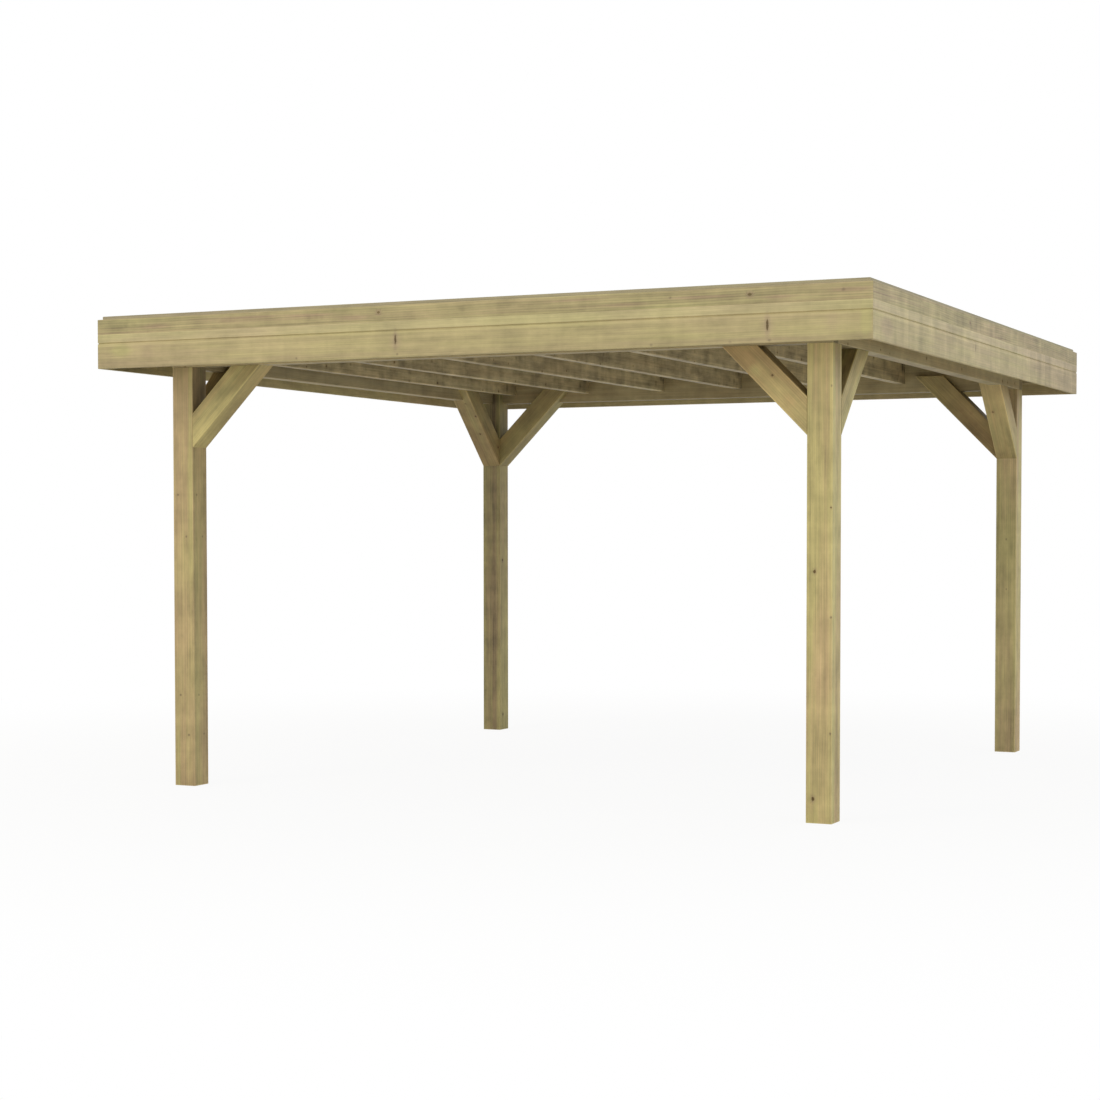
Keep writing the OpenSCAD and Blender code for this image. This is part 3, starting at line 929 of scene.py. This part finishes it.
def read_timber(tree):
    """What the pattern reads at each spot of a timber, by name. "stem" is the spot's place in the tree
    that the timber was cut from: every timber is cut from another place."""
    local, *rows = [add(tree, "ShaderNodeAttribute", attribute_name=name).outputs["Vector"]
                    for name in ("local", "face", "board", "looks")]
    at = {"local": local}
    names = (("across", "along", "face"), ("tone", "half", "end"), ("shade", "warmth", "bars"))
    for row, parts in zip(rows, names):
        at.update(zip(parts, add(tree, "ShaderNodeSeparateXYZ", [row]).outputs))
    shift = add(tree, VECTOR_MATH, {0: (3.1, 7.7, 31.7), "Scale": at["tone"]}, operation="SCALE")
    at["stem"] = add(tree, VECTOR_MATH, [local, shift], operation="ADD")
    return at


def grain_noise(tree, at, stretch, detail=2.0, roughness=0.5):
    """Noise stretched along the grain, from -0.5 to 0.5. stretch is its count a metre each way."""
    spread = add(tree, VECTOR_MATH, [at["stem"], stretch], operation="MULTIPLY")
    noise = add(tree, NOISE, {"Vector": spread, "Scale": 1.0, "Detail": detail, "Roughness": roughness})
    return add(tree, MATH, [noise, 0.5], operation="SUBTRACT")


def ring_count(tree, at, pith, ring_width):
    """Growth rings up to each spot, from a pith that wanders a few centimetres over a metre."""
    slow = add(tree, VECTOR_MATH, [at["stem"], (4, 4, 0.8)], operation="MULTIPLY")
    bend = add(tree, NOISE, {"Vector": slow, "Scale": 1.0, "Detail": 2.0}).outputs["Color"]
    bent = add(tree, VECTOR_MATH, [bend, (0.5, 0.5, 0.5)], operation="SUBTRACT")
    swayed = add(tree, VECTOR_MATH, [bent, [PITH_SWAY] * 3, at["local"]], operation="MULTIPLY_ADD")
    flat = add(tree, VECTOR_MATH, [swayed, (1, 1, 0), pith], operation="MULTIPLY_ADD")
    radius = add(tree, VECTOR_MATH, [flat], operation="LENGTH").outputs["Value"]
    return add(tree, MATH, [radius, ring_width], operation="DIVIDE")


def knots_and_rims(tree, at, share, chosen):
    """How much each spot is in a knot, and in the rim round it where the grain bends. A timber that has
    no page gets small knots by chance, each with a size of its own."""
    across = weighed(tree, at["across"], [(at["face"], 13.7)])
    along = weighed(tree, at["along"], [(at["tone"], 57.3)])
    where = add(tree, COMBINE, [across, along])
    fray = add(tree, NOISE, {"Vector": at["stem"], "Scale": 90.0, "Detail": 2.0})
    frayed = add(tree, VECTOR_MATH, [fray.outputs["Color"], FRAY, where], operation="MULTIPLY_ADD")
    cells = add(tree, "ShaderNodeTexVoronoi",
                {"Vector": frayed, "Scale": 1 / KNOT_SPACING, "Randomness": 0.9},
                voronoi_dimensions="2D").outputs
    chance = add(tree, "ShaderNodeSeparateColor", [cells["Color"]]).outputs
    away = add(tree, MATH, [cells["Distance"], KNOT_SPACING], operation="MULTIPLY")
    girth = add(tree, MAP_RANGE, {"Value": chance["Green"], "To Min": 3 * MM, "To Max": 8 * MM})
    inside = add(tree, MATH, [away, girth], operation="DIVIDE")
    missing = add(tree, MATH, [chance["Red"], share], operation="GREATER_THAN")
    paged = add(tree, MATH, [at["face"], FACES_A_PAGE - 0.5], operation="GREATER_THAN")
    inside = weighed(tree, inside, [(reason, NO_KNOT) for reason in (missing, paged, at["end"])])
    inside = add(tree, MATH, [inside, chosen], operation="MINIMUM")
    return [add(tree, MAP_RANGE, {"Value": inside, "From Min": near, "From Max": far, **FALLING},
                interpolation_type="SMOOTHSTEP") for near, far in ((0.7, 1.25), (0.8, 3.2))]


def late_wood(tree, rings, rim):
    """How dark the growth ring is. The rings part round the knots, and each is pale at first and dark in
    its last third."""
    season = add(tree, MATH, [weighed(tree, rings, [(rim, 1.6)])], operation="FRACT")
    late = add(tree, "ShaderNodeValToRGB", [season])
    ramp = late.color_ramp.elements
    ramp[0].position = 0.35
    ramp[1].position = 0.85
    ramp.new(1.0).color = (0, 0, 0, 1)
    return late


def wood_colour(tree, given, at):
    """Treated sapwood is yellow-green, and heartwood, which takes less of the treatment, warmer. They
    run in long streaks, with soft patches over them. The band over the groove is bleached."""
    count = add(tree, COMBINE, [given["Streak count"], given["Streak count"], 0.7])
    heart = weighed(tree, 0.5, [
        (grain_noise(tree, at, count, 3.0, 0.6), given["Heart spread"]),
        (grain_noise(tree, at, (5, 5, 1.6)), given["Patches"]),
        (at["warmth"], 1.0), (at["stain warmth"], 1.0), (at["rim"], 0.5),
    ])
    bleached = add(tree, MATH, [at["band"], given["Band and lip highlight"]], operation="MULTIPLY")
    bleached = add(tree, MATH, [bleached, 0.3], operation="MULTIPLY")
    wood = given["Sapwood"]
    for share, colour in ((heart, given["Heartwood"]), (at["knot"], given["Knot"]), (bleached, WHITE)):
        wood = add(tree, "ShaderNodeMix", {0: share, 6: wood, 7: colour}, data_type="RGBA").outputs[2]
    return wood


def brightness(tree, given, at):
    """Brightness round 1. Sizes of the noises, across and along the grain: fine grain 9 mm by 0.7 m,
    mottle of the treatment 60 by 140 mm, blotches 140 by 400 mm. Soft bars, which the planer leaves
    across the timber, are about 80 mm apart."""
    ringed = add(tree, MATH, [0.33, at["late"]], operation="SUBTRACT")
    both = add(tree, COMBINE, [at["tone"], at["face"]])
    face_tone = add(tree, "ShaderNodeTexWhiteNoise", {"Vector": both}).outputs["Value"]
    tone = weighed(tree, -1.0, [(at["tone"], 1.0), (face_tone, 1.0)])
    sideways = add(tree, MATH, [at["across"]], operation="ABSOLUTE")
    to_arris = weighed(tree, at["half"], [(sideways, -1.0), (at["end"], 1.0)])  # an end has no arris
    # Wear near each arris; where it is pale, it is partly a painted highlight.
    wear_and_highlight = add(tree, MAP_RANGE, {"Value": to_arris, "From Min": 2 * MM, "From Max": 8 * MM, **FALLING},
               interpolation_type="SMOOTHSTEP")
    # A painted highlight on the lower fascia board's lip.
    lip_highlight = add(tree, MATH, [at["across"], LIP_MIDDLE, LIP_HALF], operation="COMPARE")
    bars = add(tree, MATH, [given["Bars"], at["bars"]], operation="ADD")
    level = weighed(tree, 1.0, [
        (grain_noise(tree, at, (110, 110, 1.4), 4.0, 0.65), given["Grain"]),
        (ringed, given["Rings"]),
        (grain_noise(tree, at, (0.5, 0.5, 12), 4.0, 0.6), bars),
        (grain_noise(tree, at, (16, 16, 7), 4.0, 0.6), given["Mottle"]),
        (grain_noise(tree, at, (7, 7, 2.5), 3.0), given["Blotches"]),
        (weighed(tree, at["band"], [(lip_highlight, 1.5)]), given["Band and lip highlight"]),
        (tone, given["Tone spread"]), (wear_and_highlight, given["Arris wear and highlight"]), (at["fibre"], 0.2),
        # The chosen stains, with their painted shade and painted light.
        (at["stain"], -1.0), (at["end"], -0.3), (at["rim"], -0.12),
    ])
    return add(tree, MATH, [level, at["shade"]], operation="MULTIPLY")


def softwood_group():
    """Pattern of planed, pressure-treated softwood. It reads the timber's own coordinates."""
    colour, number, vector = "NodeSocketColor", "NodeSocketFloat", "NodeSocketVector"
    numbers = ("Knots", "Streak count", "Heart spread", "Patches", "Grain", "Rings", "Bars", "Blotches",
               "Mottle", "Tone spread", "Knot share", "Arris wear and highlight", "Band and lip highlight", "Ring width", "Roughness")
    tree, given, result = new_group(
        "softwood", "ShaderNodeTree",
        {**dict.fromkeys(("Sapwood", "Heartwood", "Knot"), colour),
         **dict.fromkeys(("Pith", "Stains and painted light"), vector), **dict.fromkeys(numbers, number)},
        {"Color": colour, "Roughness": number, "Height": number})
    at = read_timber(tree)
    at["stain"], at["stain warmth"], _ = add(tree, "ShaderNodeSeparateXYZ", [given["Stains and painted light"]]).outputs
    at["knot"], at["rim"] = knots_and_rims(tree, at, given["Knot share"], given["Knots"])
    at["late"] = late_wood(tree, ring_count(tree, at, given["Pith"], given["Ring width"]), at["rim"])
    at["fibre"] = grain_noise(tree, at, (420, 420, 9), 3.0)
    at["band"] = add(tree, MATH, [at["across"], BAND_FROM], operation="GREATER_THAN")
    shade = add(tree, VECTOR_MATH,
                {0: wood_colour(tree, given, at), "Scale": brightness(tree, given, at)}, operation="SCALE")
    rough = weighed(tree, given["Roughness"], [(at["fibre"], 0.3)])
    height = weighed(tree, at["fibre"], [(at["knot"], -0.5), (at["late"], 0.4)])
    for name, value in (("Color", shade), ("Roughness", rough), ("Height", height)):
        tree.links.new(value.outputs[0], result[name])
    return tree


def wood_material(pattern, name, values, knots=(), stains=()):
    """Material of the softwood pattern. values go to the pattern's inputs, and hex codes are colours."""
    material = bpy.data.materials.new(name)
    tree = emptied(material)
    values = {key: hex_colour(value) if isinstance(value, str) else value
              for key, value in {**TREATED, **values}.items()}
    if stains:
        face, local = (add(tree, "ShaderNodeAttribute", attribute_name=read_name).outputs["Vector"]
                       for read_name in ("face", "local"))
        fray = add(tree, NOISE, {"Vector": local, "Scale": 120.0, "Detail": 2.0})
        middle = add(tree, VECTOR_MATH, [fray.outputs["Color"], (0.5, 0.5, 0.5)], operation="SUBTRACT")
        spot = add(tree, VECTOR_MATH, [middle, FRAY, face], operation="MULTIPLY_ADD")
        values["Knots"] = chosen_knots(tree, spot, knots)
        # The chosen stains, some of which are painted shade and painted light.
        values["Stains and painted light"] = chosen_stains(tree, spot, stains)
    wood = add(tree, "ShaderNodeGroup", values, node_tree=pattern).outputs
    bump = add(tree, "ShaderNodeBump", {"Height": wood["Height"], "Strength": 0.35, "Distance": 0.6 * MM})
    surface = add(tree, "ShaderNodeBsdfPrincipled", {
        "Base Color": wood["Color"], "Roughness": wood["Roughness"], "Normal": bump,
        "Specular IOR Level": 0.5, "IOR": 1.5,
    })
    add(tree, "ShaderNodeOutputMaterial", [surface])
    return material


# ------------ the pergola

def main():
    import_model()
    bpy.context.scene.view_settings.view_transform = "Standard"
    make_camera()
    make_world()
    make_lamps()
    make_floor()
    pattern = softwood_group()
    woods = {key: wood_material(pattern, *row) for key, row in WOODS.items()}
    make_posts(woods["posts"])
    make_braces(woods["braces"])
    make_beams(woods["beams"])
    make_joists(woods["joists"])
    make_rims(woods["joists"])
    make_outriggers(woods["joists"])
    make_roof_boards(woods["boards"])
    make_fascia(woods["lower"], woods["upper"])
    make_kerbs(woods["kerb"])
    zinc = zinc_material()
    make_screws("roof_board_screws", roof_screws(), zinc, 90)
    make_screws("joist_end_screws", joist_screws(), zinc, 91)


main()
